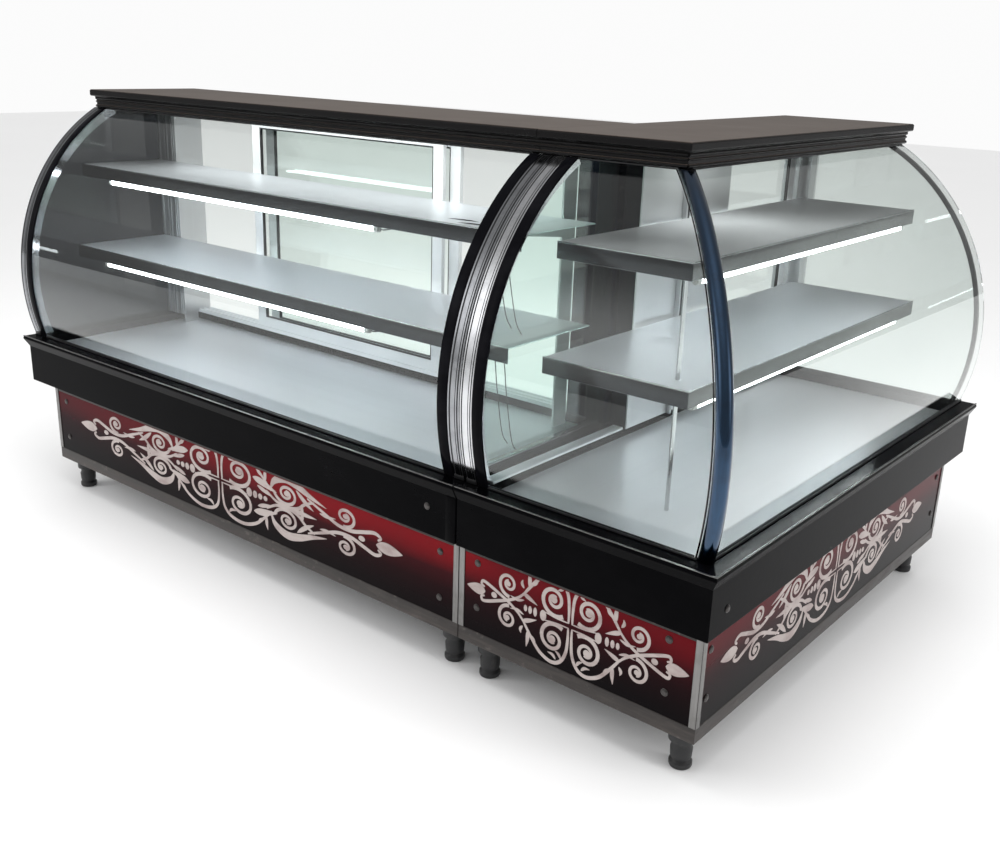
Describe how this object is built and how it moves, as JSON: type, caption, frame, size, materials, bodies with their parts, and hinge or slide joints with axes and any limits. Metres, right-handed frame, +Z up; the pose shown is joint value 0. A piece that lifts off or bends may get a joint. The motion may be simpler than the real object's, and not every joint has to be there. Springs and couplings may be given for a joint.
{
  "type": "glass display showcase",
  "caption": "L-shaped curved-glass display counter: long case and corner return, lit steel shelves, stone top, decorated base and sliding rear doors.",
  "frame": {"origin": "middle of the whole footprint box at floor level", "axes": "+X along the long customer front, towards the corner case; -Y is the long customer front; +Z up"},
  "size_m": [2.52, 1.55, 1.25],
  "materials": {
    "frame": "dark bronze-grey paint on welded steel",
    "panel": "gloss laminate, maroon fading to black, with silver scroll ornament",
    "fascia": "gloss black sheet over the tray",
    "steel": "brushed stainless sheet",
    "chrome": "bright grooved channel",
    "blue": "metallic blue gloss tube",
    "glass": "clear toughened glass, faint green",
    "smoked_glass": "dark reflective glass",
    "stone": "polished dark stone with fine flecks",
    "white": "white coated aluminium section",
    "post": "dark grey paint",
    "lamp": "opal diffuser, cool white light",
    "rubber": "moulded black foot"
  },
  "bodies": {
    "case": {"a_base_frame": "frame", "a_bottom_track": "white", "a_deck": "steel", "a_foot_1": "rubber", "a_foot_2": "rubber", "a_foot_3": "rubber", "a_foot_4": "rubber", "a_front_glass": "glass", "a_front_panel": "panel", "a_left_glass": "smoked_glass", "a_left_panel": "panel", "a_left_post": "steel", "a_left_rib": "chrome", "a_left_stand": "steel", "a_lower_lamp": "lamp", "a_lower_shelf": "steel", "a_right_glass": "glass", "a_right_post": "post", "a_right_rib": "chrome", "a_right_stand": "steel", "a_slab": "stone", "a_top_track": "white", "a_tray": "fascia", "a_upper_lamp": "lamp", "a_upper_shelf": "steel", "b_base_frame": "frame", "b_bottom_track": "white", "b_corner_rib": "blue", "b_corner_rod": "chrome", "b_deck": "steel", "b_end_glass": "glass", "b_end_panel": "panel", "b_end_post": "post", "b_far_stand": "steel", "b_foot_1": "rubber", "b_foot_2": "rubber", "b_foot_3": "rubber", "b_foot_4": "rubber", "b_front_glass": "glass", "b_front_panel": "panel", "b_inner_post": "post", "b_left_rib": "chrome", "b_lower_lamp": "lamp", "b_lower_shelf": "steel", "b_near_stand": "steel", "b_side_glass": "glass", "b_side_panel": "panel", "b_slab": "stone", "b_steel_panel": "steel", "b_top_track": "white", "b_tray": "fascia", "b_upper_lamp": "lamp", "b_upper_shelf": "steel"},
    "left_door": {"a_left_door_frame": "white", "a_left_door_glass": "glass"},
    "right_door": {"a_right_door_frame": "white", "a_right_door_glass": "glass"},
    "return_door": {"b_door_frame": "white", "b_door_glass": "glass"}
  },
  "joints": [
    {"name": "left_door_slide", "type": "slide", "parent": "case", "child": "left_door", "axis": [1, 0, 0], "range_m": [-0.32, 0.46]},
    {"name": "right_door_slide", "type": "slide", "parent": "case", "child": "right_door", "axis": [1, 0, 0], "range_m": [-0.365, 0.42]},
    {"name": "return_door_slide", "type": "slide", "parent": "case", "child": "return_door", "axis": [0, 1, 0], "range_m": [-0.33, 0]}
  ]
}
